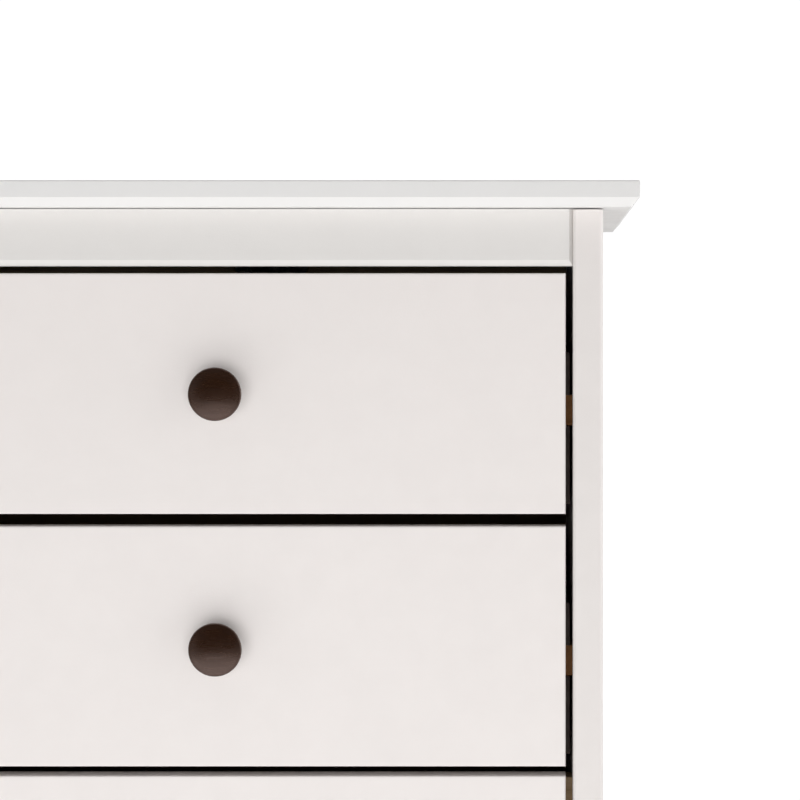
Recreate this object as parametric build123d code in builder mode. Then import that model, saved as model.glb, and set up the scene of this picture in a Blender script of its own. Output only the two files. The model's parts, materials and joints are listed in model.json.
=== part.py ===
from build123d import *
import os

# A tall, narrow chest of five drawers: a painted frame of posts, rails and side panels under an
# overhanging top board, with wooden drawers that hang on side runners.
# Millimetres. +Z is up, the front faces -Y, and the origin is on the floor, in the middle of the
# overall width and depth.

os.makedirs("parts", exist_ok=True)

# Overall size
overall_width = 583.0
overall_depth = 400.0
overall_height = 1310.0

# Top board: a vertical edge with a bevel under it on the front and on both sides
top_thickness = 18.0
top_bevel_height = 6.4
top_bevel_inset = 5.8
top_edge_radius = 1.2
front_overhang = 22.0
side_overhang = 24.5
back_overhang = 5.0
rail_joint_gap = 0.5
post_joint_gap = 0.9

# Posts, which run down to the floor as legs
post_width = 21.0
post_depth = 45.0
post_outer_radius = 4.0
post_rear_radius = 2.0
post_inner_radius = 2.5
leg_end_chamfer = 1.0

# Rails and panels
front_recess = 2.0
rail_thickness = 20.0
top_rail_height = 40.0
bottom_rail_height = 56.0
rail_bevel_height = 4.2
rail_bevel_depth = 3.0
rail_end_bevel = 2.7
middle_rail_height = 36.0
middle_rail_setback = 6.0
side_panel_thickness = 16.0
back_rail_thickness = 16.0
back_rail_height = 50.0
back_panel_thickness = 4.0
back_panel_lap = 8.0
eased_edge = 1.2

# Drawers, from the top down
drawer_heights = (167.0, 167.0, 244.0, 244.0, 244.0)
gaps_above = (5.0, 8.5, 6.5, 6.5, 6.5)
bottom_gap = 5.0
side_gap = 5.0
drawer_front_thickness = 18.0
drawer_side_thickness = 16.0
drawer_back_thickness = 14.0
drawer_bottom_thickness = 3.2
box_side_gap = 2.0
box_length = 330.0
box_rise = 6.0
box_drop = 55.0
back_inset = 8.0
housing_depth = 4.0
bottom_groove_rise = 8.0
front_groove_depth = 6.0
tongue_width = 8.0
tongue_length = 8.0
tongue_inset = 2.0

# Runners: battens on the cabinet sides that fit grooves in the drawer sides
drawer_travel = 260.0
runner_height = 21.0
runner_thickness = 10.0
runner_rise = 61.0
runner_groove_depth = 9.0
runner_play_above = 0.2
runner_play_below = 0.8
closing_play = 0.2

# Stop pegs: each slides in a slot milled in a runner and ends the drawer's travel
peg_radius = 3.0
peg_reach = 4.0
peg_head_radius = 5.0
peg_head_thickness = 2.0
peg_from_box_end = 42.0
peg_rise = 5.5
slot_height = 7.0
slot_depth = 4.0
slot_end_play = 0.3

# Knobs, which reach as far forward as the top board does
knob_radius = 18.4
knob_foot_radius = 9.5
knob_neck_radius = 7.0
knob_projection = front_overhang + front_recess
knob_neck_setback = 1.0
knob_foot_thickness = 2.4
knob_dome = 3.4
knob_rim = 3.4
knob_rim_round = 1.4
knob_screw_radius = 2.0
knob_screw_grip = 12.0
knob_screw_head_radius = 4.2
knob_screw_head_height = 2.4

# Fasteners
dowel_radius = 4.0
dowel_length = 30.0
dowel_offset = 3.0
front_rail_dowel_end = 10.0
bottom_rail_dowel_end = 15.0
back_rail_dowel_end = 12.0
hole_play = 0.05
side_dowels_per_edge = 5
side_dowel_end = 50.0
csk_radius = 1.75
csk_head_radius = 3.5
csk_head_height = 2.0
csk_length = 20.0
csk_tip = 3.0
runner_screw_rise = 15.0
runner_screw_near_end = 12.0
runner_screw_far_end = 10.0
top_screw_radius = 2.0
top_screw_length = 30.0
top_screw_head_radius = 4.0
top_screw_head_height = 2.6
top_screw_bite = 12.0
counterbore_play = 0.5
top_screw_x = 150.0
nail_radius = 0.8
nail_length = 16.0
nail_head_radius = 2.2
nail_head_thickness = 0.8
nails_per_side = 8
nail_end = 70.0
nail_columns = (60.0, 180.0)
nail_drop = 42.0

# Foot glides and wall bracket
glide_height = 3.0
glide_radius = 9.0
glide_pin_radius = 2.5
glide_pin_length = 12.0
bracket_width = 60.0
bracket_height = 20.0
bracket_thickness = 2.0
bracket_corner_radius = 3.0
bracket_screw_x = 20.0
bracket_from_top = 25.0
wall_hole_radius = 3.0
through_hole = 100.0

# Planes and lines that the pieces share
top_half = overall_width / 2
top_front = -overall_depth / 2
top_back = overall_depth / 2
frame_top = overall_height - top_thickness
rail_joint_top = frame_top - rail_joint_gap
post_joint_top = frame_top - post_joint_gap
body_half = top_half - side_overhang
opening_half = body_half - post_width
post_front = top_front + front_overhang
body_back = top_back - back_overhang
front_post_back = post_front + post_depth
rear_post_front = body_back - post_depth
rail_front = post_front + front_recess
rail_middle = rail_front + rail_thickness / 2
rail_back = rail_front + rail_thickness
top_rail_bottom = frame_top - top_rail_height
back_panel_front = body_back - back_panel_thickness
back_rail_front = back_panel_front - back_rail_thickness
back_rail_middle = back_rail_front + back_rail_thickness / 2
drawer_back_face = rail_front + drawer_front_thickness
box_end = drawer_back_face + box_length
front_half = opening_half - side_gap
box_half = opening_half - box_side_gap
box_inner_half = box_half - drawer_side_thickness
runner_inner = opening_half - runner_thickness
groove_inner = box_half - runner_groove_depth
runner_start = drawer_back_face + closing_play
peg_y = box_end - peg_from_box_end

drawer_spans = []
level = top_rail_bottom
for gap, height in zip(gaps_above, drawer_heights):
    drawer_spans.append((level - gap - height, level - gap))
    level = level - gap - height
bottom_rail_top = level - bottom_gap
frame_bottom = bottom_rail_top - bottom_rail_height

# The middle rail hides behind the top edge of the third drawer's front
middle_rail_top = drawer_spans[2][1] - bottom_gap
middle_rail_bottom = middle_rail_top - middle_rail_height
middle_rail_front = drawer_back_face + middle_rail_setback
middle_rail_back = middle_rail_front + rail_thickness

bracket_z = frame_top - bracket_from_top
bracket_front = back_rail_front - bracket_thickness


def write(piece, node):
    """Label a finished piece and write it as a STEP file of its own."""
    piece.part.label = node
    export_step(piece.part, f"parts/{node}.step")


def block(corner, opposite, mode=Mode.ADD):
    """A rectangular block between two corners, added to or cut from the piece being made."""
    size = [abs(b - a) for a, b in zip(corner, opposite)]
    middle = tuple((a + b) / 2 for a, b in zip(corner, opposite))
    with Locations(middle):
        Box(*size, mode=mode)


def drill(planes, radius, length):
    """Cut a straight hole centred on each plane's origin and running along its normal."""
    with Locations(*planes):
        Cylinder(radius, length, mode=Mode.SUBTRACT)


def along_x(x, y, z, side=1):
    """A plane that looks outward along X on the given side."""
    return Plane(origin=(x, y, z), z_dir=(side, 0, 0))


def along_y(x, y, z):
    """A plane that looks towards the back."""
    return Plane(origin=(x, y, z), z_dir=(0, 1, 0))


def upward(x, y, z):
    """A plane that looks up."""
    return Plane(origin=(x, y, z), z_dir=(0, 0, 1))


def even(first, last, count):
    """Evenly spaced values from first to last."""
    return [first + (last - first) * i / (count - 1) for i in range(count)]


# Dowels: side panels to posts, rails to posts, top board to posts
panel_centre = opening_half + side_panel_thickness / 2
side_dowel_levels = even(
    frame_bottom + side_dowel_end, frame_top - side_dowel_end, side_dowels_per_edge
)
middle_rail_y = middle_rail_front + rail_thickness / 2
back_rail_low_top = frame_bottom + back_rail_height
back_rail_high_bottom = frame_top - back_rail_height
rail_dowel_rows = (
    (rail_middle, top_rail_bottom, frame_top, front_rail_dowel_end),
    (rail_middle, frame_bottom, bottom_rail_top, bottom_rail_dowel_end),
    (middle_rail_y, middle_rail_bottom, middle_rail_top, front_rail_dowel_end),
    (back_rail_middle, back_rail_high_bottom, frame_top, back_rail_dowel_end),
    (back_rail_middle, frame_bottom, back_rail_low_top, back_rail_dowel_end),
)
dowel_planes = []
for side in (-1, 1):
    for z in side_dowel_levels:
        dowel_planes.append(along_y(side * panel_centre, front_post_back, z))
        dowel_planes.append(along_y(side * panel_centre, rear_post_front, z))
    for y, low, high, end in rail_dowel_rows:
        for z in (low + end, high - end):
            dowel_planes.append(along_x(side * (opening_half - dowel_offset), y, z))
    for y in (post_front + post_depth / 2, body_back - post_depth / 2):
        dowel_x = side * (opening_half + post_width / 2)
        dowel_planes.append(upward(dowel_x, y, frame_top - dowel_offset))

# Countersunk screws: three through each runner, two through the wall bracket. Each plane sits
# in the screw's head face and looks along the screw.
screw_ys = (
    drawer_back_face + runner_screw_near_end,
    (front_post_back + rear_post_front) / 2,
    box_end - runner_screw_far_end,
)
csk_planes = []
for bottom, _ in drawer_spans:
    screw_z = bottom + runner_rise + runner_screw_rise
    for side in (-1, 1):
        for y in screw_ys:
            csk_planes.append(along_x(side * runner_inner, y, screw_z, side))
for x in (-bracket_screw_x, bracket_screw_x):
    csk_planes.append(along_y(x, bracket_front, bracket_z))

# Screws up through the front and back top rails into the top board
top_screw_head = frame_top + top_screw_bite - top_screw_length
top_screw_planes = [
    upward(x, y, top_screw_head)
    for x in (-top_screw_x, top_screw_x)
    for y in (rail_middle, back_rail_middle)
]

# Nails through the back panel
nail_planes = []
for side in (-1, 1):
    for z in even(frame_bottom + nail_end, frame_top - nail_end, nails_per_side):
        nail_planes.append(along_y(side * (opening_half + back_panel_lap / 2), body_back, z))
    for x in nail_columns:
        for z in (frame_top - nail_drop, frame_bottom + back_rail_height / 2):
            nail_planes.append(along_y(side * x, body_back, z))

# One glide under the middle of each leg
glide_planes = [
    upward(side * (opening_half + post_width / 2), y, 0)
    for side in (-1, 1)
    for y in (post_front + post_depth / 2, body_back - post_depth / 2)
]


def drill_dowels():
    """Cut every dowel hole that crosses the piece being made."""
    drill(dowel_planes, dowel_radius + hole_play, dowel_length + 2 * hole_play)


def drill_countersunk():
    """Cut every countersunk screw hole that crosses the piece being made."""
    middles = [plane.offset(csk_length / 2) for plane in csk_planes]
    drill(middles, csk_radius + hole_play, csk_length + 2 * hole_play)


def drill_nails():
    """Cut every nail hole that crosses the piece being made."""
    middles = [plane.offset(-nail_length / 2) for plane in nail_planes]
    drill(middles, nail_radius + hole_play, nail_length + 2 * hole_play)


def drill_wall_hole():
    """Cut the hole for the wall screw through the bracket, the back top rail and the back panel."""
    drill([along_y(0, body_back, bracket_z)], wall_hole_radius, through_hole)


def make_top_panel():
    """The top board, bevelled under its front and side edges."""
    with BuildPart() as panel:
        block((-top_half, top_front, frame_top), (top_half, top_back, overall_height))
        underside = panel.faces().sort_by(Axis.Z)[0]
        bevelled = underside.edges().sort_by(Axis.Y)[:-1]
        chamfer(bevelled, top_bevel_inset, top_bevel_height, reference=underside)
        upper = panel.faces().sort_by(Axis.Z)[-1]
        fillet(upper.edges().sort_by(Axis.Y)[:-1], top_edge_radius)
        drill_dowels()
        screw_middles = [plane.offset(top_screw_length / 2) for plane in top_screw_planes]
        drill(screw_middles, top_screw_radius + hole_play, top_screw_length + 2 * hole_play)
    write(panel, "top_panel")


def make_post(side, front):
    """A post. The front ones have a rounded outer corner, the rear ones a rebate for the back."""
    near = post_front if front else rear_post_front
    top = post_joint_top if front else frame_top
    with BuildPart() as post:
        block(
            (side * opening_half, near, glide_height),
            (side * body_half, near + post_depth, top),
        )
        columns = post.edges().filter_by(Axis.Z).group_by(Axis.X)
        outer = columns[-1 if side > 0 else 0].sort_by(Axis.Y)
        inner = columns[0 if side > 0 else -1].sort_by(Axis.Y)
        if front:
            fillet(outer[0], post_outer_radius)
            fillet(outer[-1], eased_edge)
            fillet(inner[0], post_inner_radius)
        else:
            fillet(outer[0], eased_edge)
            fillet(outer[-1], post_rear_radius)
            block(
                (side * opening_half, back_panel_front, frame_bottom),
                (side * (opening_half + back_panel_lap), body_back, frame_top),
                Mode.SUBTRACT,
            )
        chamfer(post.faces().sort_by(Axis.Z)[0].edges(), leg_end_chamfer)
        drill_dowels()
        drill_countersunk()
        if not front:
            drill_nails()
        pins = [plane.offset(glide_height) for plane in glide_planes]
        drill(pins, glide_pin_radius + hole_play, 2 * glide_pin_length)
    across = "right" if side > 0 else "left"
    write(post, f"{across}_{'front' if front else 'rear'}_post")


def make_side_panel(side):
    """A side panel between the front and rear posts, flush with their inner faces."""
    with BuildPart() as panel:
        block(
            (side * opening_half, front_post_back, frame_bottom),
            (side * (opening_half + side_panel_thickness), rear_post_front, frame_top),
        )
        drill_dowels()
        drill_countersunk()
    write(panel, f"{'right' if side > 0 else 'left'}_side_panel")


def make_front_rail(node, bottom, top):
    """A front rail, bevelled along its lower edge and at both ends."""
    with BuildPart() as rail:
        block((-opening_half, rail_front, bottom), (opening_half, rail_back, top))
        face = rail.faces().sort_by(Axis.Y)[0]
        ends = face.edges().filter_by(Axis.Z)
        chamfer(ends, rail_end_bevel, rail_bevel_depth, reference=face)
        face = rail.faces().sort_by(Axis.Y)[0]
        lower = face.edges().sort_by(Axis.Z)[0]
        chamfer(lower, rail_bevel_height, rail_bevel_depth, reference=face)
        drill_dowels()
        if bottom == top_rail_bottom:
            for plane in top_screw_planes:
                counterbore(plane, bottom)
    write(rail, node)


def counterbore(plane, mouth):
    """Cut a screw's clearance hole and, from below, the wide bore that its head sits in."""
    drill([plane.offset(top_screw_length / 2)], top_screw_radius + hole_play, top_screw_length)
    depth = plane.origin.Z - mouth
    drill([plane.offset(-depth / 2)], top_screw_head_radius + counterbore_play, depth)


def make_middle_rail():
    """The hidden rail that holds the posts apart behind the third drawer's front."""
    with BuildPart() as rail:
        block(
            (-opening_half, middle_rail_front, middle_rail_bottom),
            (opening_half, middle_rail_back, middle_rail_top),
        )
        fillet(rail.edges().filter_by(Axis.X), eased_edge)
        drill_dowels()
    write(rail, "middle_rail")


def make_back_rail(node, bottom, top):
    """A back rail that the back panel is nailed to."""
    with BuildPart() as rail:
        block((-opening_half, back_rail_front, bottom), (opening_half, back_panel_front, top))
        drill_dowels()
        drill_nails()
        if top == frame_top:
            drill_countersunk()
            drill_wall_hole()
            for plane in top_screw_planes:
                counterbore(plane, bottom)
    write(rail, node)


def make_back_panel():
    """The thin back, let into the rear posts."""
    lap = opening_half + back_panel_lap
    with BuildPart() as panel:
        block((-lap, back_panel_front, frame_bottom), (lap, body_back, frame_top))
        drill_nails()
        drill_wall_hole()
        drill_countersunk()
    write(panel, "back_panel")


def make_runners():
    """Five pairs of runner battens, each with a stopped slot for its drawer's peg."""
    slot_near = peg_y - drawer_travel - peg_radius - slot_end_play
    slot_far = peg_y + peg_radius + slot_end_play
    with BuildPart() as runners:
        for bottom, _ in drawer_spans:
            base = bottom + runner_rise
            slot_low = base + peg_rise - slot_height / 2
            for side in (-1, 1):
                block(
                    (side * runner_inner, runner_start, base),
                    (side * opening_half, box_end, base + runner_height),
                )
                block(
                    (side * runner_inner, slot_near, slot_low),
                    (side * (runner_inner + slot_depth), slot_far, slot_low + slot_height),
                    Mode.SUBTRACT,
                )
        for plane in csk_planes:
            if plane.origin.Y != bracket_front:
                with Locations(plane.offset(csk_head_height / 2)):
                    Cone(
                        csk_head_radius + hole_play,
                        csk_radius + hole_play,
                        csk_head_height,
                        mode=Mode.SUBTRACT,
                    )
        drill_countersunk()
    write(runners, "drawer_runners")


def make_countersunk_screws():
    """The identical screws of the runners and the wall bracket."""
    shank = csk_length - csk_head_height - csk_tip
    with BuildPart() as screws:
        with Locations(*[plane.offset(csk_head_height / 2) for plane in csk_planes]):
            Cone(csk_head_radius, csk_radius, csk_head_height)
        with Locations(*[plane.offset(csk_head_height + shank / 2) for plane in csk_planes]):
            Cylinder(csk_radius, shank)
        with Locations(*[plane.offset(csk_length - csk_tip / 2) for plane in csk_planes]):
            Cone(csk_radius, csk_radius / 4, csk_tip)
    write(screws, "countersunk_screws")


def make_top_screws():
    """The pan head screws that hold the top board down."""
    with BuildPart() as screws:
        with Locations(*[p.offset(top_screw_length / 2) for p in top_screw_planes]):
            Cylinder(top_screw_radius, top_screw_length)
        with Locations(*[p.offset(-top_screw_head_height / 2) for p in top_screw_planes]):
            Cylinder(top_screw_head_radius, top_screw_head_height)
    write(screws, "top_fixing_screws")


def make_dowels():
    """Every dowel of the frame."""
    with BuildPart() as dowels:
        with Locations(*dowel_planes):
            Cylinder(dowel_radius, dowel_length)
    write(dowels, "frame_dowels")


def make_nails():
    """The nails of the back panel, with flat heads on its outer face."""
    with BuildPart() as nails:
        with Locations(*[plane.offset(-nail_length / 2) for plane in nail_planes]):
            Cylinder(nail_radius, nail_length)
        with Locations(*[plane.offset(nail_head_thickness / 2) for plane in nail_planes]):
            Cylinder(nail_head_radius, nail_head_thickness)
    write(nails, "back_panel_nails")


def make_glides():
    """Four plastic glides, each a disc with a pin driven up into its leg."""
    with BuildPart() as glides:
        with Locations(*[plane.offset(glide_height / 2) for plane in glide_planes]):
            Cylinder(glide_radius, glide_height)
        pin_middle = glide_height + glide_pin_length / 2
        with Locations(*[plane.offset(pin_middle) for plane in glide_planes]):
            Cylinder(glide_pin_radius, glide_pin_length)
    write(glides, "foot_glides")


def make_bracket():
    """The steel plate that takes the wall screw, on the front of the back top rail."""
    half = bracket_width / 2
    low = bracket_z - bracket_height / 2
    with BuildPart() as bracket:
        block((-half, bracket_front, low), (half, back_rail_front, low + bracket_height))
        fillet(bracket.edges().filter_by(Axis.Y), bracket_corner_radius)
        with Locations(*[p.offset(csk_head_height / 2) for p in csk_planes[-2:]]):
            Cone(
                csk_head_radius + hole_play,
                csk_radius + hole_play,
                csk_head_height,
                mode=Mode.SUBTRACT,
            )
        drill_wall_hole()
    write(bracket, "wall_bracket")


def make_drawer_front(name, bottom, top, knob_z):
    """A drawer front with eased edges, grooved behind for the sides and the bottom."""
    box_bottom = bottom + box_rise
    panel_low = box_bottom + bottom_groove_rise
    with BuildPart() as front:
        block((-front_half, rail_front, bottom), (front_half, drawer_back_face, top))
        fillet(front.faces().sort_by(Axis.Y)[0].edges(), eased_edge)
        for side in (-1, 1):
            tongue_start = box_inner_half + tongue_inset
            block(
                (side * tongue_start, drawer_back_face - tongue_length, box_bottom),
                (side * (tongue_start + tongue_width), drawer_back_face, top - box_drop),
                Mode.SUBTRACT,
            )
        lap = box_inner_half + housing_depth
        block(
            (-lap, drawer_back_face - front_groove_depth, panel_low),
            (lap, drawer_back_face, panel_low + drawer_bottom_thickness),
            Mode.SUBTRACT,
        )
        drill([along_y(0, rail_front, knob_z)], knob_screw_radius + hole_play, through_hole)
    write(front, f"{name}_front")


def make_drawer_side(name, side, bottom, top):
    """A drawer side: runner groove outside, bottom groove and back housing inside."""
    box_bottom = bottom + box_rise
    side_top = top - box_drop
    panel_low = box_bottom + bottom_groove_rise
    panel_high = panel_low + drawer_bottom_thickness
    groove_low = bottom + runner_rise - runner_play_below
    groove_high = bottom + runner_rise + runner_height + runner_play_above
    tongue_start = box_inner_half + tongue_inset
    back_near = box_end - back_inset - drawer_back_thickness
    with BuildPart() as board:
        block(
            (side * box_inner_half, drawer_back_face, box_bottom),
            (side * box_half, box_end, side_top),
        )
        fillet(board.faces().sort_by(Axis.Z)[-1].edges().filter_by(Axis.Y), eased_edge)
        block(
            (side * tongue_start, drawer_back_face - tongue_length, box_bottom),
            (side * (tongue_start + tongue_width), drawer_back_face, side_top),
        )
        block(
            (side * groove_inner, drawer_back_face, groove_low),
            (side * box_half, box_end, groove_high),
            Mode.SUBTRACT,
        )
        housing = box_inner_half + housing_depth
        block(
            (side * box_inner_half, drawer_back_face, panel_low),
            (side * housing, box_end, panel_high),
            Mode.SUBTRACT,
        )
        block(
            (side * box_inner_half, back_near, panel_high),
            (side * housing, back_near + drawer_back_thickness, side_top),
            Mode.SUBTRACT,
        )
        block(
            (side * tongue_start, drawer_back_face - front_groove_depth, panel_low),
            (side * housing, drawer_back_face, panel_high),
            Mode.SUBTRACT,
        )
        peg = along_x(side * box_inner_half, peg_y, bottom + runner_rise + peg_rise)
        drill([peg], peg_radius + hole_play, 2 * drawer_side_thickness)
    write(board, f"{name}_{'right' if side > 0 else 'left'}_side")


def make_drawer_back(name, bottom, top):
    """A drawer back, standing on the bottom panel and housed in the sides."""
    back_near = box_end - back_inset - drawer_back_thickness
    base = bottom + box_rise + bottom_groove_rise + drawer_bottom_thickness
    half = box_inner_half + housing_depth
    with BuildPart() as back:
        block((-half, back_near, base), (half, back_near + drawer_back_thickness, top - box_drop))
        fillet(back.faces().sort_by(Axis.Z)[-1].edges().filter_by(Axis.X), eased_edge)
    write(back, f"{name}_back")


def make_drawer_bottom(name, bottom):
    """A drawer's thin bottom panel, let into the front and the sides."""
    low = bottom + box_rise + bottom_groove_rise
    half = box_inner_half + housing_depth
    with BuildPart() as panel:
        block(
            (-half, drawer_back_face - front_groove_depth, low),
            (half, box_end - back_inset, low + drawer_bottom_thickness),
        )
    write(panel, f"{name}_bottom")


def make_knob(name, knob_z):
    """A turned knob: a small foot, a waisted neck and a domed head with a rounded rim."""
    apex = rail_front - knob_projection
    rim_front = apex + knob_dome
    rim_back = rim_front + knob_rim
    foot_front = rail_front - knob_foot_thickness
    rim_edge = knob_radius - knob_rim_round
    neck_y = (foot_front + rim_back) / 2 + knob_neck_setback
    with BuildPart() as knob:
        with BuildSketch(Plane.XY.offset(knob_z)):
            with BuildLine():
                foot = Polyline(
                    (0, apex), (0, rail_front), (knob_foot_radius, rail_front),
                    (knob_foot_radius, foot_front),
                )
                neck = Spline(
                    foot @ 1, (knob_neck_radius, neck_y), (rim_edge, rim_back),
                    tangents=((-1, -0.4), (1, -0.25)),
                )
                rim = ThreePointArc(
                    neck @ 1, (knob_radius, (rim_front + rim_back) / 2), (rim_edge, rim_front)
                )
                TangentArc((0, apex), rim @ 1, tangent=(1, 0))
            make_face()
        revolve(axis=Axis((0, 0, knob_z), (0, 1, 0)))
        drill([along_y(0, rail_front, knob_z)], knob_screw_radius + hole_play, 2 * knob_screw_grip)
    write(knob, f"{name}_knob")


def make_knob_screw(name, knob_z):
    """The machine screw that holds the knob from inside the drawer."""
    reach = drawer_front_thickness + knob_screw_grip
    with BuildPart() as screw:
        with Locations(along_y(0, drawer_back_face - reach / 2, knob_z)):
            Cylinder(knob_screw_radius, reach)
        with Locations(along_y(0, drawer_back_face + knob_screw_head_height / 2, knob_z)):
            Cylinder(knob_screw_head_radius, knob_screw_head_height)
    write(screw, f"{name}_knob_screw")


def make_stop_pegs(name, bottom):
    """The pair of flanged pegs pushed outward through a drawer's sides into the runner slots."""
    z = bottom + runner_rise + peg_rise
    reach = groove_inner + peg_reach - box_inner_half
    with BuildPart() as pegs:
        for side in (-1, 1):
            with Locations(along_x(side * (box_inner_half + reach / 2), peg_y, z)):
                Cylinder(peg_radius, reach)
            with Locations(along_x(side * (box_inner_half - peg_head_thickness / 2), peg_y, z)):
                Cylinder(peg_head_radius, peg_head_thickness)
    write(pegs, f"{name}_stop_pegs")


def make_drawer(number, bottom, top):
    """One whole drawer."""
    name = f"drawer_{number}"
    knob_z = (bottom + top) / 2
    make_drawer_front(name, bottom, top, knob_z)
    for side in (-1, 1):
        make_drawer_side(name, side, bottom, top)
    make_drawer_back(name, bottom, top)
    make_drawer_bottom(name, bottom)
    make_knob(name, knob_z)
    make_knob_screw(name, knob_z)
    make_stop_pegs(name, bottom)


make_top_panel()
for side in (-1, 1):
    make_post(side, front=True)
    make_post(side, front=False)
    make_side_panel(side)
make_front_rail("front_top_rail", top_rail_bottom, rail_joint_top)
make_front_rail("front_bottom_rail", frame_bottom, bottom_rail_top)
make_middle_rail()
make_back_rail("back_top_rail", back_rail_high_bottom, frame_top)
make_back_rail("back_bottom_rail", frame_bottom, back_rail_low_top)
make_back_panel()
make_runners()
make_countersunk_screws()
make_top_screws()
make_dowels()
make_nails()
make_glides()
make_bracket()
for number, (bottom, top) in enumerate(drawer_spans, start=1):
    make_drawer(number, bottom, top)
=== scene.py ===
import json
import math

import bmesh
import bpy
from mathutils import Matrix, Vector

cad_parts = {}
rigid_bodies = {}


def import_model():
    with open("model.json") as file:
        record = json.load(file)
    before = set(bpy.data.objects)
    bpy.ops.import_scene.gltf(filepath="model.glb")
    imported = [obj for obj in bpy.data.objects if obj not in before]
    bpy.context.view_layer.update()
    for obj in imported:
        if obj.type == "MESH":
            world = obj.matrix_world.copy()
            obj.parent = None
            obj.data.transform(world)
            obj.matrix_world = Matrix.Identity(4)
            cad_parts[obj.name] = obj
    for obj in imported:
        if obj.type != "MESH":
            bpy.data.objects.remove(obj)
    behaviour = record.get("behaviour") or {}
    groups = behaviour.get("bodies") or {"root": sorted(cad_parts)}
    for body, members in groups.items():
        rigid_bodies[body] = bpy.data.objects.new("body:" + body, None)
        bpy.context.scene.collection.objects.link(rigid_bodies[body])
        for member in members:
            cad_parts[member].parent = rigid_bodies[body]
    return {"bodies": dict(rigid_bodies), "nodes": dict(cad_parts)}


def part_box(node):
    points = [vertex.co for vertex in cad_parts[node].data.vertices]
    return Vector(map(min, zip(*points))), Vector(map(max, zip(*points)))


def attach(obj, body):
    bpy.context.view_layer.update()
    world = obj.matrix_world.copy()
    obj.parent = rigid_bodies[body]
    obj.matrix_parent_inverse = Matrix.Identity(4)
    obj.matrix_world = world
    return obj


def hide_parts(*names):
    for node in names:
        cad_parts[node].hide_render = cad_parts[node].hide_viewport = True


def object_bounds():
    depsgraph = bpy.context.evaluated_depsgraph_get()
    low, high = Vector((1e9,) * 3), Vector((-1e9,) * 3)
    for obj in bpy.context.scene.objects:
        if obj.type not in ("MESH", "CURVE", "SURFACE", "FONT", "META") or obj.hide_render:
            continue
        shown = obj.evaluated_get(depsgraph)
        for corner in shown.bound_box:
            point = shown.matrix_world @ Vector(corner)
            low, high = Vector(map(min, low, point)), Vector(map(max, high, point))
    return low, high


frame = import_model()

# The looks of a tall chest of drawers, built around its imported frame. Metres, +Z up, front to -Y.

cad_low, cad_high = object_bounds()
DRAWERS = sorted(body for body in frame["bodies"] if body.startswith("drawer_"))
top_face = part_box("top_panel")[1].z
front_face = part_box("right_front_post")[0].y


# --- Shader nodes ---------------------------------------------------------------------------

# Socket numbers of a Mix node that mixes colours
MIX_FACTOR = 0
MIX_FIRST = 6
MIX_SECOND = 7
MIX_RESULT = 2


def node(tree, kind, inputs=None, **settings):
    """Add a shader node, set its properties, and set or link its inputs."""
    made = tree.nodes.new("ShaderNode" + kind)
    for key, value in settings.items():
        setattr(made, key, value)
    for key, value in (inputs or {}).items():
        if isinstance(value, bpy.types.NodeSocket):
            tree.links.new(value, made.inputs[key])
        else:
            made.inputs[key].default_value = value
    return made


def material(name, **fixed):
    """A new material with the given fixed values on its Principled shader's own sockets."""
    made = bpy.data.materials.new(name)
    made.use_nodes = True
    shader = made.node_tree.nodes["Principled BSDF"]
    for key, value in fixed.items():
        shader.inputs[key.replace("_", " ")].default_value = value
    return made, made.node_tree, shader


def coordinates(tree, scale=(1, 1, 1)):
    """Object coordinates in metres, scaled along each axis."""
    origin = node(tree, "TexCoord").outputs["Object"]
    return node(tree, "Mapping", {"Vector": origin, "Scale": scale}).outputs["Vector"]


def noise(tree, vector, scale, detail=2.0, roughness=0.5, distortion=0.0):
    """A grey noise value around one half."""
    inputs = {
        "Vector": vector, "Scale": scale, "Detail": detail,
        "Roughness": roughness, "Distortion": distortion,
    }
    return node(tree, "TexNoise", inputs).outputs["Fac"]


def spread(tree, value, low, high, from_low=0.35, from_high=0.65):
    """Map a value onto a range; what noise gives lies mostly between the default ends."""
    inputs = {
        "Value": value, "From Min": from_low, "From Max": from_high, "To Min": low, "To Max": high,
    }
    return node(tree, "MapRange", inputs).outputs["Result"]


def mix(tree, factor, first, second):
    """Mix two colours. Sockets are picked by number, because several share a name."""
    made = node(tree, "Mix", {MIX_FACTOR: factor}, data_type="RGBA")
    for place, colour in ((MIX_FIRST, first), (MIX_SECOND, second)):
        if isinstance(colour, bpy.types.NodeSocket):
            tree.links.new(colour, made.inputs[place])
        else:
            made.inputs[place].default_value = (*colour, 1.0)
    return made.outputs[MIX_RESULT]


def maths(tree, operation, first, second):
    """One arithmetic step."""
    return node(tree, "Math", {0: first, 1: second}, operation=operation).outputs["Value"]


def coat(tree, shader, colour, roughness, height, relief):
    """Give a shader its colour, roughness and bump, whose relief is in metres."""
    tree.links.new(colour, shader.inputs["Base Color"])
    tree.links.new(roughness, shader.inputs["Roughness"])
    raised = node(tree, "Bump", {"Height": height, "Distance": relief, "Strength": 1.0})
    tree.links.new(raised.outputs["Normal"], shader.inputs["Normal"])


# --- Finishes -------------------------------------------------------------------------------

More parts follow.
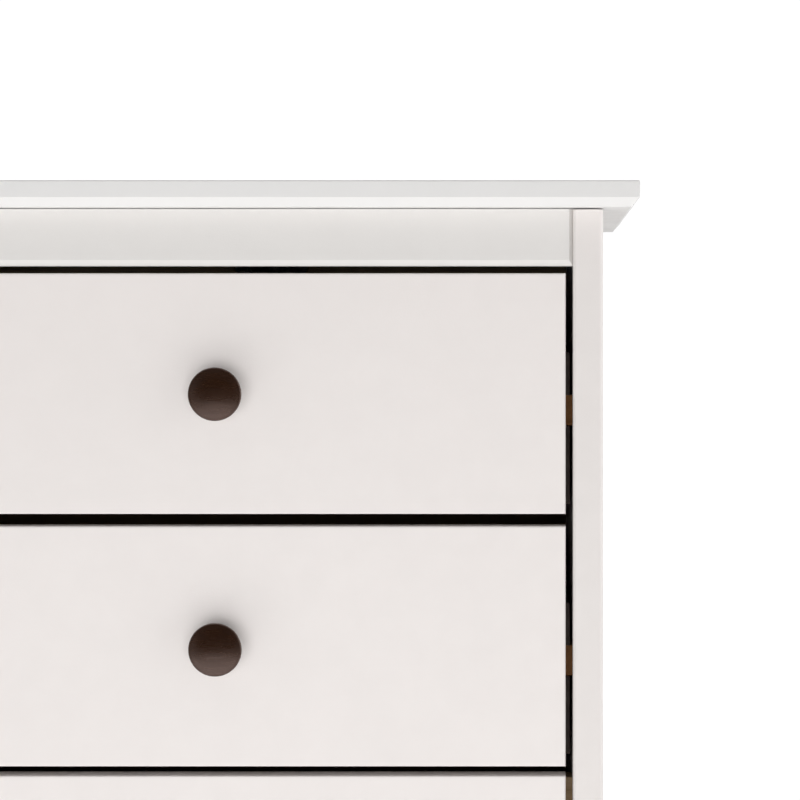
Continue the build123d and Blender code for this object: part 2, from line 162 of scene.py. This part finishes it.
# Linear colours, in pairs where noise wanders between a light and a dark one
COOL_WHITE = (0.77, 0.76, 0.75)
RAIL_WHITE = (0.717, 0.696, 0.677)
WARM_WHITE = (0.80, 0.755, 0.735)
POST_WHITE = (0.755, 0.715, 0.695)
RAIL_WOOD = ((0.50, 0.36, 0.22), (0.40, 0.27, 0.15))
# Runner wood: a brown between the wood's own and the near black of the gap, partly painted shade
RUNNER_WOOD_AND_SHADE = ((0.185, 0.078, 0.017), (0.12, 0.049, 0.011))
DOWEL_WOOD = ((0.62, 0.47, 0.30), (0.50, 0.36, 0.21))
# Drawer-side foil: darkened far below the foil's own grey-brown, painted shade for the gaps beside
# the drawer fronts
FOIL_DARKENED_AS_SHADE = ((0.047, 0.035, 0.028), (0.035, 0.026, 0.021))
BROWN_LACQUER = ((0.13, 0.08, 0.05), (0.1, 0.06, 0.038))
WHITE_LACQUER = ((0.76, 0.74, 0.71), (0.73, 0.71, 0.68))
RAW_BOARD = ((0.33, 0.21, 0.12), (0.18, 0.108, 0.058))
RAW_BOARD_PATCH = (0.18, 0.118, 0.07)
KNOB_STAIN = ((0.024, 0.0095, 0.0042), (0.015, 0.006, 0.0028))
KNOB_STAIN_CLOUD = (0.027, 0.011, 0.005)
KNOB_SHEEN = (1.0, 0.75, 0.68, 1.0)
ZINC_PLATE = ((0.62, 0.61, 0.58), (0.48, 0.475, 0.46))
NATURAL_NYLON = ((0.72, 0.70, 0.65), (0.67, 0.65, 0.60))
FLOOR_PAPER = ((0.84, 0.84, 0.835), (0.82, 0.82, 0.815))

# How far noise is drawn out along the grain, by the axis the grain runs on
GRAIN = {"x": (0.035, 1, 1), "y": (1, 0.035, 1), "z": (1, 1, 0.035)}


def darker(colour, share):
    """A share of a colour."""
    return [channel * share for channel in colour]


def paint(name, run, tint):
    """Satin off-white paint over wood: faint roller stipple, with the grain just telling."""
    made, tree, shader = material(name, Specular_IOR_Level=0.45)
    whole = coordinates(tree)
    grain = noise(tree, coordinates(tree, GRAIN[run]), scale=260.0, detail=3.0)
    broad = noise(tree, whole, scale=4.0)
    mottle = noise(tree, whole, scale=60.0, detail=3.0)
    stipple = noise(tree, whole, scale=1100.0)
    tone = mix(tree, spread(tree, broad, 0.0, 1.0), tint, darker(tint, 0.985))
    tone = mix(tree, spread(tree, mottle, 0.0, 0.35), tone, darker(tint, 0.965))
    rough = spread(tree, mottle, 0.36, 0.48)
    height = maths(tree, "ADD", maths(tree, "MULTIPLY", grain, 0.6), stipple)
    coat(tree, shader, tone, rough, height, relief=0.00006)
    return made


def wood(name, run, tones, roughness=(0.5, 0.65)):
    """Planed wood with streaked grain and sunken pores along one axis."""
    made, tree, shader = material(name, Specular_IOR_Level=0.35)
    light, dark = tones
    along = coordinates(tree, GRAIN[run])
    figure = noise(tree, along, scale=38.0, detail=4.0, roughness=0.6, distortion=0.6)
    pores = noise(tree, along, scale=700.0, roughness=0.7)
    tone = mix(tree, spread(tree, figure, 0.0, 1.0), light, dark)
    sunken = spread(tree, pores, 0.0, 0.5, from_low=0.5, from_high=0.75)
    tone = mix(tree, sunken, tone, darker(dark, 0.45))
    coat(tree, shader, tone, spread(tree, figure, *roughness), pores, relief=-0.0001)
    return made


def foil(name):
    """Grey-brown paper foil on board, with a faint printed grain; its colour is darkened to near
    black, painted shade for the deep gaps beside the drawer fronts.
    """
    made, tree, shader = material(name, Specular_IOR_Level=0.3)
    fleck = noise(tree, coordinates(tree, GRAIN["y"]), scale=320.0, detail=3.0)
    tone = mix(tree, spread(tree, fleck, 0.0, 1.0), *FOIL_DARKENED_AS_SHADE)
    coat(tree, shader, tone, spread(tree, fleck, 0.5, 0.62), fleck, relief=0.00004)
    return made


def facing(tree, axis):
    """One where the surface faces along the given direction, zero elsewhere."""
    normal = node(tree, "TexCoord").outputs["Normal"]
    along = node(tree, "VectorMath", {0: normal, 1: axis}, operation="DOT_PRODUCT")
    return maths(tree, "GREATER_THAN", along.outputs["Value"], 0.5)


def hardboard(name, raw_side, lacquer):
    """Pressed board, raw brown and fibrous on one side, smooth and lacquered elsewhere."""
    made, tree, shader = material(name, Specular_IOR_Level=0.3)
    whole = coordinates(tree)
    fibres = noise(tree, whole, scale=260.0, detail=8.0, roughness=0.85, distortion=0.3)
    patches = noise(tree, whole, scale=7.0, detail=3.0)
    raw = mix(tree, spread(tree, fibres, 0.0, 1.0), *RAW_BOARD)
    raw = mix(tree, spread(tree, patches, 0.0, 0.45), raw, RAW_BOARD_PATCH)
    smooth = mix(tree, spread(tree, patches, 0.0, 1.0), *lacquer)
    side = facing(tree, raw_side)
    tone = mix(tree, side, smooth, raw)
    rough = maths(tree, "ADD", maths(tree, "MULTIPLY", side, 0.3), spread(tree, fibres, 0.42, 0.5))
    height = maths(tree, "MULTIPLY", fibres, side)
    coat(tree, shader, tone, rough, height, relief=0.0003)
    return made


def dark_knob(name):
    """Turned wood, stained dark brown under satin lacquer."""
    made, tree, shader = material(name, Specular_IOR_Level=0.85, Specular_Tint=KNOB_SHEEN)
    along = coordinates(tree, GRAIN["x"])
    streaks = noise(tree, along, scale=420.0, detail=4.0, roughness=0.6, distortion=0.4)
    clouds = noise(tree, coordinates(tree), scale=60.0)
    tone = mix(tree, spread(tree, streaks, 0.0, 1.0), *KNOB_STAIN)
    tone = mix(tree, spread(tree, clouds, 0.0, 0.4), tone, KNOB_STAIN_CLOUD)
    coat(tree, shader, tone, spread(tree, streaks, 0.25, 0.32), streaks, relief=0.00003)
    return made


def zinc(name):
    """Bright zinc plate, slightly clouded."""
    made, tree, shader = material(name, Metallic=1.0)
    clouds = noise(tree, coordinates(tree), scale=350.0, detail=3.0)
    tone = mix(tree, spread(tree, clouds, 0.0, 1.0), *ZINC_PLATE)
    coat(tree, shader, tone, spread(tree, clouds, 0.26, 0.42), clouds, relief=0.00002)
    return made


def nylon(name):
    """Moulded natural nylon with a fine matt skin."""
    made, tree, shader = material(name, Specular_IOR_Level=0.4, Subsurface_Weight=0.08)
    grainy = noise(tree, coordinates(tree), scale=1500.0)
    tone = mix(tree, spread(tree, grainy, 0.0, 1.0), *NATURAL_NYLON)
    coat(tree, shader, tone, spread(tree, grainy, 0.42, 0.55), grainy, relief=0.00005)
    return made


def make_materials():
    """Every finish of the chest, by name."""
    return {
        "top_paint": paint("top_paint", "x", COOL_WHITE),
        "rail_paint": paint("rail_paint", "x", RAIL_WHITE),
        "front_paint": paint("front_paint", "x", WARM_WHITE),
        "frame_paint": paint("frame_paint", "z", POST_WHITE),
        "rail_wood": wood("rail_wood", "x", RAIL_WOOD),
        "runner_wood": wood("runner_wood", "y", RUNNER_WOOD_AND_SHADE, roughness=(0.45, 0.6)),
        "dowel_wood": wood("dowel_wood", "z", DOWEL_WOOD),
        "foil": foil("grey_foil"),
        "back_board": hardboard("back_hardboard", (0, 1, 0), BROWN_LACQUER),
        "base_board": hardboard("base_hardboard", (0, 0, -1), WHITE_LACQUER),
        "knob": dark_knob("dark_knob"),
        "zinc": zinc("zinc_plate"),
        "nylon": nylon("nylon"),
    }


FINISH = make_materials()

# The finish of each CAD node that is shown; mesh pieces stand for the others
CARCASS_FINISH = {
    "top_panel": "top_paint",
    "left_front_post": "frame_paint",
    "right_front_post": "frame_paint",
    "left_rear_post": "frame_paint",
    "right_rear_post": "frame_paint",
    "left_side_panel": "frame_paint",
    "right_side_panel": "frame_paint",
    "front_top_rail": "rail_paint",
    "middle_rail": "rail_wood",
    "front_bottom_rail": "front_paint",
    "back_top_rail": "rail_wood",
    "back_bottom_rail": "rail_wood",
    "back_panel": "back_board",
    "drawer_runners": "runner_wood",
    "frame_dowels": "dowel_wood",
    "wall_bracket": "zinc",
}
DRAWER_FINISH = {
    "front": "front_paint",
    "left_side": "foil",
    "right_side": "foil",
    "back": "foil",
    "bottom": "base_board",
}


def finish_node(name, finish):
    """Give a carried-over CAD node its material."""
    mesh = frame["nodes"][name].data
    mesh.materials.clear()
    mesh.materials.append(FINISH[finish])


for name, finish in CARCASS_FINISH.items():
    finish_node(name, finish)
for body in DRAWERS:
    for part, finish in DRAWER_FINISH.items():
        finish_node(f"{body}_{part}", finish)


# --- Mesh pieces ----------------------------------------------------------------------------

WELD = 0.00001
SHARP_ANGLE = math.radians(38.0)
KNOB_SEGMENTS = 128
SCREW_SEGMENTS = 32
GLIDE_SEGMENTS = 64

# Knob: radii of bore, foot and neck, and heights off the drawer front
KNOB_BORE = 0.00205
KNOB_BORE_DEPTH = 0.012
KNOB_FOOT = 0.0095
KNOB_FOOT_HEIGHT = 0.0024
KNOB_FOOT_ROUND = 0.0005
KNOB_NECK = 0.007
KNOB_NECK_HEIGHT = 0.0088
# Knob's head: how far its face domes, how thick its rim is and how far the rim bulges
KNOB_DOME = 0.0034
KNOB_RIM = 0.0034
KNOB_RIM_ROUND = 0.0014
# Where the curves of the knob's neck and back are pulled to, as shares of their rise
NECK_LEAVES = 0.15
NECK_ARRIVES = 0.4
BACK_LEAVES = 0.45
BACK_ARRIVES = (0.6, 0.15)

# Screws: lengths and radii, then shares of the head's radius and height
CSK_HEAD_HEIGHT = 0.002
CSK_SHANK = 0.00175
CSK_TIP = 0.003
PAN_HEAD_HEIGHT = 0.0026
KNOB_SCREW_HEAD_HEIGHT = 0.0024
SCREW_SHANK = 0.002
HEAD_EDGE = 0.00018
PAN_FLAT = 0.62
PAN_SHOULDER = 0.86
PAN_CROWN = (0.3, 0.75)
# Cross recess: arm's reach and half width as shares of the head's radius, the floor's share of
# the mouth, and the depth
RECESS_REACH = 0.52
RECESS_WIDTH = 0.17
RECESS_TAPER = 0.45
RECESS_DEPTH = 0.0012

# Nails, foot glides and stop pegs
NAIL_HEAD_HEIGHT = 0.0008
NAIL_CROWN = (0.7, 0.4)
NAIL_SHANK = 0.0008
GLIDE_HEIGHT = 0.003
GLIDE_ROUND = 0.0009
GLIDE_PIN = 0.0025
PEG_HEAD_HEIGHT = 0.002
PEG_SHANK = 0.003
PEG_ROUND = 0.0007


def solids(name):
    """The lowest and highest corners of each separate solid in a CAD node."""
    mesh = bmesh.new()
    mesh.from_mesh(frame["nodes"][name].data)
    bmesh.ops.remove_doubles(mesh, verts=mesh.verts, dist=WELD)
    seen = set()
    found = []
    for start in mesh.verts:
        if start in seen:
            continue
        seen.add(start)
        group = [start]
        for vertex in group:
            for edge in vertex.link_edges:
                other = edge.other_vert(vertex)
                if other not in seen:
                    seen.add(other)
                    group.append(other)
        low = Vector([min(vertex.co[axis] for vertex in group) for axis in range(3)])
        high = Vector([max(vertex.co[axis] for vertex in group) for axis in range(3)])
        found.append((low, high))
    mesh.free()
    return found


def pointing(origin, direction):
    """A place at an origin whose +Z looks along a direction."""
    turn = Vector(direction).to_track_quat("Z", "Y").to_matrix().to_4x4()
    return Matrix.Translation(Vector(origin)) @ turn


def arc(centre, radius, start, end, steps):
    """Points on a circular arc in the profile plane, angles in degrees."""
    angles = [math.radians(start + (end - start) * i / steps) for i in range(steps + 1)]
    return [(centre[0] + radius * math.cos(a), centre[1] + radius * math.sin(a)) for a in angles]


def curve(points, steps):
    """Points on a cubic Bezier curve, without its first."""
    made = []
    for i in range(1, steps + 1):
        t = i / steps
        weights = ((1 - t) ** 3, 3 * t * (1 - t) ** 2, 3 * t * t * (1 - t), t ** 3)
        made.append(tuple(sum(w * p[axis] for w, p in zip(weights, points)) for axis in (0, 1)))
    return made


def turned(mesh, profile, segments, place):
    """Turn a profile of (radius, height) points about a place's +Z, and return its rings."""
    angles = [math.tau * i / segments for i in range(segments)]
    rings = []
    for radius, height in profile:
        ring = [(0.0, 0.0, height)]
        if radius > WELD:
            ring = [(radius * math.cos(a), radius * math.sin(a), height) for a in angles]
        rings.append([mesh.verts.new(place @ Vector(point)) for point in ring])
    for first, second in zip(rings, rings[1:]):
        for i in range(segments):
            j = (i + 1) % segments
            corners = [first[i % len(first)], first[j % len(first)]]
            corners += [second[j % len(second)], second[i % len(second)]]
            mesh.faces.new(list(dict.fromkeys(corners)))
    return rings


def loop_edges(mesh, loop):
    """The edges around a closed loop of vertices, made where they are missing."""
    pairs = list(zip(loop, loop[1:] + loop[:1]))
    return [mesh.edges.get(pair) or mesh.edges.new(pair) for pair in pairs]


def cross_recess(mesh, rim, reach, place):
    """Close a flat ring with a face that has a tapered cross recess in its middle."""
    width = reach * RECESS_WIDTH / RECESS_REACH
    quarter = [(width, -reach), (width, -width), (reach, -width)]
    outline = []
    for _ in range(4):
        outline += quarter
        quarter = [(-y, x) for x, y in quarter]
    mouth = [mesh.verts.new(place @ Vector((x, y, 0.0))) for x, y in outline]
    sunk = [Vector((x * RECESS_TAPER, y * RECESS_TAPER, RECESS_DEPTH)) for x, y in outline]
    floor = [mesh.verts.new(place @ point) for point in sunk]
    for i, corner in enumerate(mouth):
        j = (i + 1) % len(mouth)
        mesh.faces.new((corner, mouth[j], floor[j], floor[i]))
    mesh.faces.new(floor)
    edges = loop_edges(mesh, rim) + loop_edges(mesh, mouth)
    bmesh.ops.triangle_fill(mesh, use_beauty=True, edges=edges)


def add_screw(mesh, place, length, head, shank, head_height, flat, tip=0.0):
    """A cross-recessed screw whose +Z runs from its head's face to its tip."""
    if flat:
        face = head - HEAD_EDGE
        profile = [(face, 0.0), (head, HEAD_EDGE), (shank, head_height)]
    else:
        face = head * PAN_FLAT
        crown = [(face, 0.0), (head * PAN_SHOULDER, 0.0)]
        crown += [(head, head_height * share) for share in PAN_CROWN]
        profile = [crown[0]] + curve(crown, 8) + [(head, head_height), (shank, head_height)]
    profile += [(shank, length - tip)]
    profile += [(shank / 4, length), (0.0, length)] if tip else [(0.0, length)]
    rings = turned(mesh, profile, SCREW_SEGMENTS, place)
    cross_recess(mesh, rings[0], head * RECESS_REACH, place)


def finished(name, mesh, finish, body, slot, *nodes):
    """Turn a bmesh into a piece that rides on a body and stands for its CAD nodes."""
    bmesh.ops.recalc_face_normals(mesh, faces=mesh.faces)
    data = bpy.data.meshes.new(name)
    mesh.to_mesh(data)
    mesh.free()
    data.shade_smooth()
    data.set_sharp_from_angle(angle=SHARP_ANGLE)
    data.materials.append(FINISH[finish])
    piece = bpy.data.objects.new(name, data)
    bpy.context.scene.collection.objects.link(piece)
    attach(piece, body)
    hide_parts(*nodes)


def knob_profile(radius, projection):
    """A small foot, a waisted neck and a domed head with a rounded rim, bored from behind."""
    head_edge = radius - KNOB_RIM_ROUND
    rim_front = projection - KNOB_DOME
    rim_back = rim_front - KNOB_RIM
    foot_round = KNOB_FOOT_ROUND
    profile = [(0.0, KNOB_BORE_DEPTH), (KNOB_BORE, KNOB_BORE_DEPTH), (KNOB_BORE, 0.0)]
    profile += arc((KNOB_FOOT - foot_round, foot_round), foot_round, -90, 0, 4)
    shoulder = (KNOB_FOOT - foot_round, KNOB_FOOT_HEIGHT - foot_round)
    profile += arc(shoulder, foot_round, 0, 70, 4)
    foot_top = profile[-1]
    neck = (KNOB_NECK, KNOB_NECK_HEIGHT)
    lift = KNOB_NECK_HEIGHT - foot_top[1]
    leaves = (KNOB_NECK, foot_top[1] + NECK_LEAVES * lift)
    arrives = (KNOB_NECK, KNOB_NECK_HEIGHT - NECK_ARRIVES * lift)
    profile += curve((foot_top, leaves, arrives, neck), 12)
    rise = rim_back - KNOB_NECK_HEIGHT
    leaves = (KNOB_NECK, KNOB_NECK_HEIGHT + BACK_LEAVES * rise)
    arrives = (head_edge - BACK_ARRIVES[0] * rise, rim_back - BACK_ARRIVES[1] * rise)
    profile += curve((neck, leaves, arrives, (head_edge, rim_back)), 20)
    middle = (rim_back + rim_front) / 2
    for angle in range(-75, 90, 15):
        tilt = math.radians(angle)
        bulge = KNOB_RIM_ROUND * math.cos(tilt)
        profile.append((head_edge + bulge, middle + KNOB_RIM / 2 * math.sin(tilt)))
    bow = (head_edge ** 2 + KNOB_DOME ** 2) / (2 * KNOB_DOME)
    widest = math.degrees(math.asin(head_edge / bow))
    profile += arc((0.0, projection - bow), bow, 90 - widest, 90, 24)
    return profile


def make_knob(body):
    """A drawer's turned knob."""
    low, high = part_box(f"{body}_knob")
    centre = (low + high) / 2
    place = pointing((centre.x, high.y, centre.z), (0, -1, 0))
    mesh = bmesh.new()
    turned(mesh, knob_profile((high.x - low.x) / 2, high.y - low.y), KNOB_SEGMENTS, place)
    finished(f"{body}_turned_knob", mesh, "knob", body, "knob_finish", f"{body}_knob")


def make_knob_screw(body):
    """The screw that holds the knob, its head inside the drawer."""
    low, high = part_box(f"{body}_knob_screw")
    centre = (low + high) / 2
    place = pointing((centre.x, high.y, centre.z), (0, -1, 0))
    mesh = bmesh.new()
    head = (high.x - low.x) / 2
    add_screw(mesh, place, high.y - low.y, head, SCREW_SHANK, KNOB_SCREW_HEAD_HEIGHT, False)
    finished(f"{body}_pan_screw", mesh, "zinc", body, "zinc_steel", f"{body}_knob_screw")


def make_pegs(body):
    """A drawer's flanged stop pegs, their heads inside."""
    mesh = bmesh.new()
    for low, high in solids(f"{body}_stop_pegs"):
        centre = (low + high) / 2
        side = math.copysign(1.0, centre.x)
        inner = min((low.x, high.x), key=abs)
        head = (high.z - low.z) / 2
        length = high.x - low.x
        edge = (head - PEG_ROUND, PEG_ROUND)
        profile = [(0.0, 0.0)] + arc(edge, PEG_ROUND, -90, 0, 5) + [(head, PEG_HEAD_HEIGHT)]
        profile += [(PEG_SHANK, PEG_HEAD_HEIGHT)]
        tip = (PEG_SHANK - PEG_ROUND, length - PEG_ROUND)
        profile += arc(tip, PEG_ROUND, 0, 90, 4) + [(0.0, length)]
        turned(mesh, profile, SCREW_SEGMENTS, pointing((inner, centre.y, centre.z), (side, 0, 0)))
    finished(f"{body}_pegs", mesh, "nylon", body, "plastic", f"{body}_stop_pegs")


def make_countersunk_screws():
    """The screws of the runners and the wall bracket."""
    mesh = bmesh.new()
    for low, high in solids("countersunk_screws"):
        centre = (low + high) / 2
        size = high - low
        if size.x > size.y:
            inner = min((low.x, high.x), key=abs)
            side = math.copysign(1.0, centre.x)
            place = pointing((inner, centre.y, centre.z), (side, 0, 0))
        else:
            place = pointing((centre.x, low.y, centre.z), (0, 1, 0))
        add_screw(mesh, place, max(size), size.z / 2, CSK_SHANK, CSK_HEAD_HEIGHT, True, CSK_TIP)
    name = "runner_and_bracket_screws"
    finished(name, mesh, "zinc", "carcass", "zinc_steel", "countersunk_screws")


def make_top_screws():
    """The pan head screws up into the top board."""
    mesh = bmesh.new()
    for low, high in solids("top_fixing_screws"):
        centre = (low + high) / 2
        place = pointing((centre.x, centre.y, low.z), (0, 0, 1))
        head = (high.x - low.x) / 2
        add_screw(mesh, place, high.z - low.z, head, SCREW_SHANK, PAN_HEAD_HEIGHT, False)
    finished("top_pan_screws", mesh, "zinc", "carcass", "zinc_steel", "top_fixing_screws")


def make_nails():
    """The nails of the back panel, with low domed heads."""
    mesh = bmesh.new()
    for low, high in solids("back_panel_nails"):
        centre = (low + high) / 2
        head = (high.x - low.x) / 2
        length = high.y - low.y
        top = NAIL_HEAD_HEIGHT
        crown = [(0.0, 0.0), (head * NAIL_CROWN[0], 0.0), (head, top * NAIL_CROWN[1]), (head, top)]
        profile = [crown[0]] + curve(crown, 8)
        profile += [(NAIL_SHANK, top), (NAIL_SHANK, length - 2 * NAIL_SHANK), (0.0, length)]
        turned(mesh, profile, SCREW_SEGMENTS, pointing((centre.x, high.y, centre.z), (0, -1, 0)))
    finished("domed_nails", mesh, "zinc", "carcass", "zinc_steel", "back_panel_nails")


def make_glides():
    """The foot glides: discs with a rounded lower edge, on pins driven into the legs."""
    mesh = bmesh.new()
    for low, high in solids("foot_glides"):
        centre = (low + high) / 2
        radius = (high.x - low.x) / 2
        top = high.z - low.z
        edge = (radius - GLIDE_ROUND, GLIDE_ROUND)
        profile = [(0.0, 0.0)] + arc(edge, GLIDE_ROUND, -90, 0, 6) + [(radius, GLIDE_HEIGHT)]
        profile += [(GLIDE_PIN, GLIDE_HEIGHT), (GLIDE_PIN, top - GLIDE_PIN), (0.0, top)]
        turned(mesh, profile, GLIDE_SEGMENTS, pointing((centre.x, centre.y, low.z), (0, 0, 1)))
    finished("rounded_glides", mesh, "nylon", "carcass", "plastic", "foot_glides")


for body in DRAWERS:
    make_knob(body)
    make_knob_screw(body)
    make_pegs(body)
make_countersunk_screws()
make_top_screws()
make_nails()
make_glides()


# --- Stage, light and camera ---------------------------------------------------------------

# Floor: half its side, and the distances between which it fades to white
FLOOR_HALF = 4.2
FLOOR_FADE = (1.2, 3.8)
CAMERA_WHITE = 1.05

# Room light: its strength, rising over these Y directions from a dark front, then each brighter
# wall as (axis, sign, added strength, direction where it starts, direction where it is full)
ROOM = 0.1
ROOM_RISE = (-0.88, -0.7)
ROOM_WALLS = (
    ("Y", 1.0, 0.8, 0.15, 0.5),
    ("X", 1.0, 1.7, 0.68, 0.92),
    ("X", -1.0, 0.5, 0.65, 0.9),
    ("Z", 1.0, 0.8, 0.75, 0.97),
)

# A light lying on the floor in front, shining up, and a soft fill that no gloss reflects
FLOOR_LIGHT = (-0.3, -1.15, 0.02)
FLOOR_LIGHT_AIM = (-0.3, -1.15, 1.0)
FLOOR_LIGHT_SIZE = (4.4, 1.3)
FLOOR_POWER = 17.5
FILL = (0.0, -3.4, 0.6)
FILL_AIM = (0.0, -0.2, 1.0)
FILL_SIZE = (2.6, 1.8)
FILL_POWER = 64.0

# Camera: place, degrees below level, and lens and sensor in millimetres
CAMERA_X = 0.2182
CAMERA_DISTANCE = 1.705
CAMERA_BELOW_TOP = 0.110
CAMERA_PITCH = 0.535
LENS = 110.8
SENSOR = 36.0
SHIFT_X = -0.166
SHIFT_Y = -0.045


def make_floor():
    """A plain pale floor that fades to the white of the background, as the camera sees it."""
    mesh = bpy.data.meshes.new("floor")
    floor = bpy.data.objects.new("floor", mesh)
    bpy.context.scene.collection.objects.link(floor)
    corners = [(-FLOOR_HALF, -FLOOR_HALF), (FLOOR_HALF, -FLOOR_HALF)]
    corners += [(FLOOR_HALF, FLOOR_HALF), (-FLOOR_HALF, FLOOR_HALF)]
    mesh.from_pydata([(x, y, cad_low.z) for x, y in corners], [], [(0, 1, 2, 3)])
    made, tree, shader = material("floor_paper", Specular_IOR_Level=0.2, Roughness=0.7)
    origin = coordinates(tree)
    clouds = noise(tree, origin, scale=3.0, detail=3.0)
    tone = mix(tree, spread(tree, clouds, 0.0, 1.0), *FLOOR_PAPER)
    tree.links.new(tone, shader.inputs["Base Color"])
    distance = node(tree, "VectorMath", {0: origin}, operation="LENGTH").outputs["Value"]
    is_camera = node(tree, "LightPath").outputs["Is Camera Ray"]
    fade = maths(tree, "MULTIPLY", spread(tree, distance, 0.0, 1.0, *FLOOR_FADE), is_camera)
    white = node(tree, "Emission", {"Strength": CAMERA_WHITE})
    blend = node(tree, "MixShader", {0: fade, 1: shader.outputs[0], 2: white.outputs[0]})
    output = tree.nodes["Material Output"]
    tree.links.new(blend.outputs[0], output.inputs["Surface"])
    mesh.materials.append(made)


def make_world():
    """White to the camera. As light it is a room, dark in front of the chest and bright behind."""
    world = bpy.data.worlds.new("studio")
    bpy.context.scene.world = world
    world.use_nodes = True
    tree = world.node_tree
    background = tree.nodes["Background"]
    direction = node(tree, "TexCoord").outputs["Generated"]
    parts = node(tree, "SeparateXYZ", {"Vector": direction})
    room = spread(tree, parts.outputs["Y"], 0.0, ROOM, *ROOM_RISE)
    for axis, sign, extra, start, full in ROOM_WALLS:
        toward = maths(tree, "MULTIPLY", parts.outputs[axis], sign)
        room = maths(tree, "ADD", room, spread(tree, toward, 0.0, extra, start, full))
    is_camera = node(tree, "LightPath").outputs["Is Camera Ray"]
    strength = maths(tree, "MAXIMUM", room, maths(tree, "MULTIPLY", is_camera, CAMERA_WHITE))
    background.inputs["Color"].default_value = (1.0, 1.0, 1.0, 1.0)
    tree.links.new(strength, background.inputs["Strength"])


def make_light(name, place, aim, size, power, glossy=True):
    """A soft rectangular light that the camera doesn't see."""
    data = bpy.data.lights.new(name, "AREA")
    data.shape = "RECTANGLE"
    data.size, data.size_y = size
    data.energy = power
    light = bpy.data.objects.new(name, data)
    bpy.context.scene.collection.objects.link(light)
    light.location = place
    light.rotation_euler = (Vector(aim) - Vector(place)).to_track_quat("-Z", "Y").to_euler()
    light.visible_camera = False
    light.visible_glossy = glossy


def make_camera():
    """The camera of the photograph: square to the front, right of the middle, below the top."""
    data = bpy.data.cameras.new("camera")
    data.lens = LENS
    data.sensor_width = SENSOR
    data.shift_x = SHIFT_X
    data.shift_y = SHIFT_Y
    camera = bpy.data.objects.new("camera", data)
    bpy.context.scene.collection.objects.link(camera)
    camera.location = (CAMERA_X, front_face - CAMERA_DISTANCE, top_face - CAMERA_BELOW_TOP)
    camera.rotation_euler = (math.radians(90.0 - CAMERA_PITCH), 0.0, 0.0)
    bpy.context.scene.camera = camera


make_floor()
make_world()
make_light("bright_floor", FLOOR_LIGHT, FLOOR_LIGHT_AIM, FLOOR_LIGHT_SIZE, FLOOR_POWER)
make_light("front_fill", FILL, FILL_AIM, FILL_SIZE, FILL_POWER, glossy=False)
make_camera()
bpy.context.scene.view_settings.view_transform = "Standard"
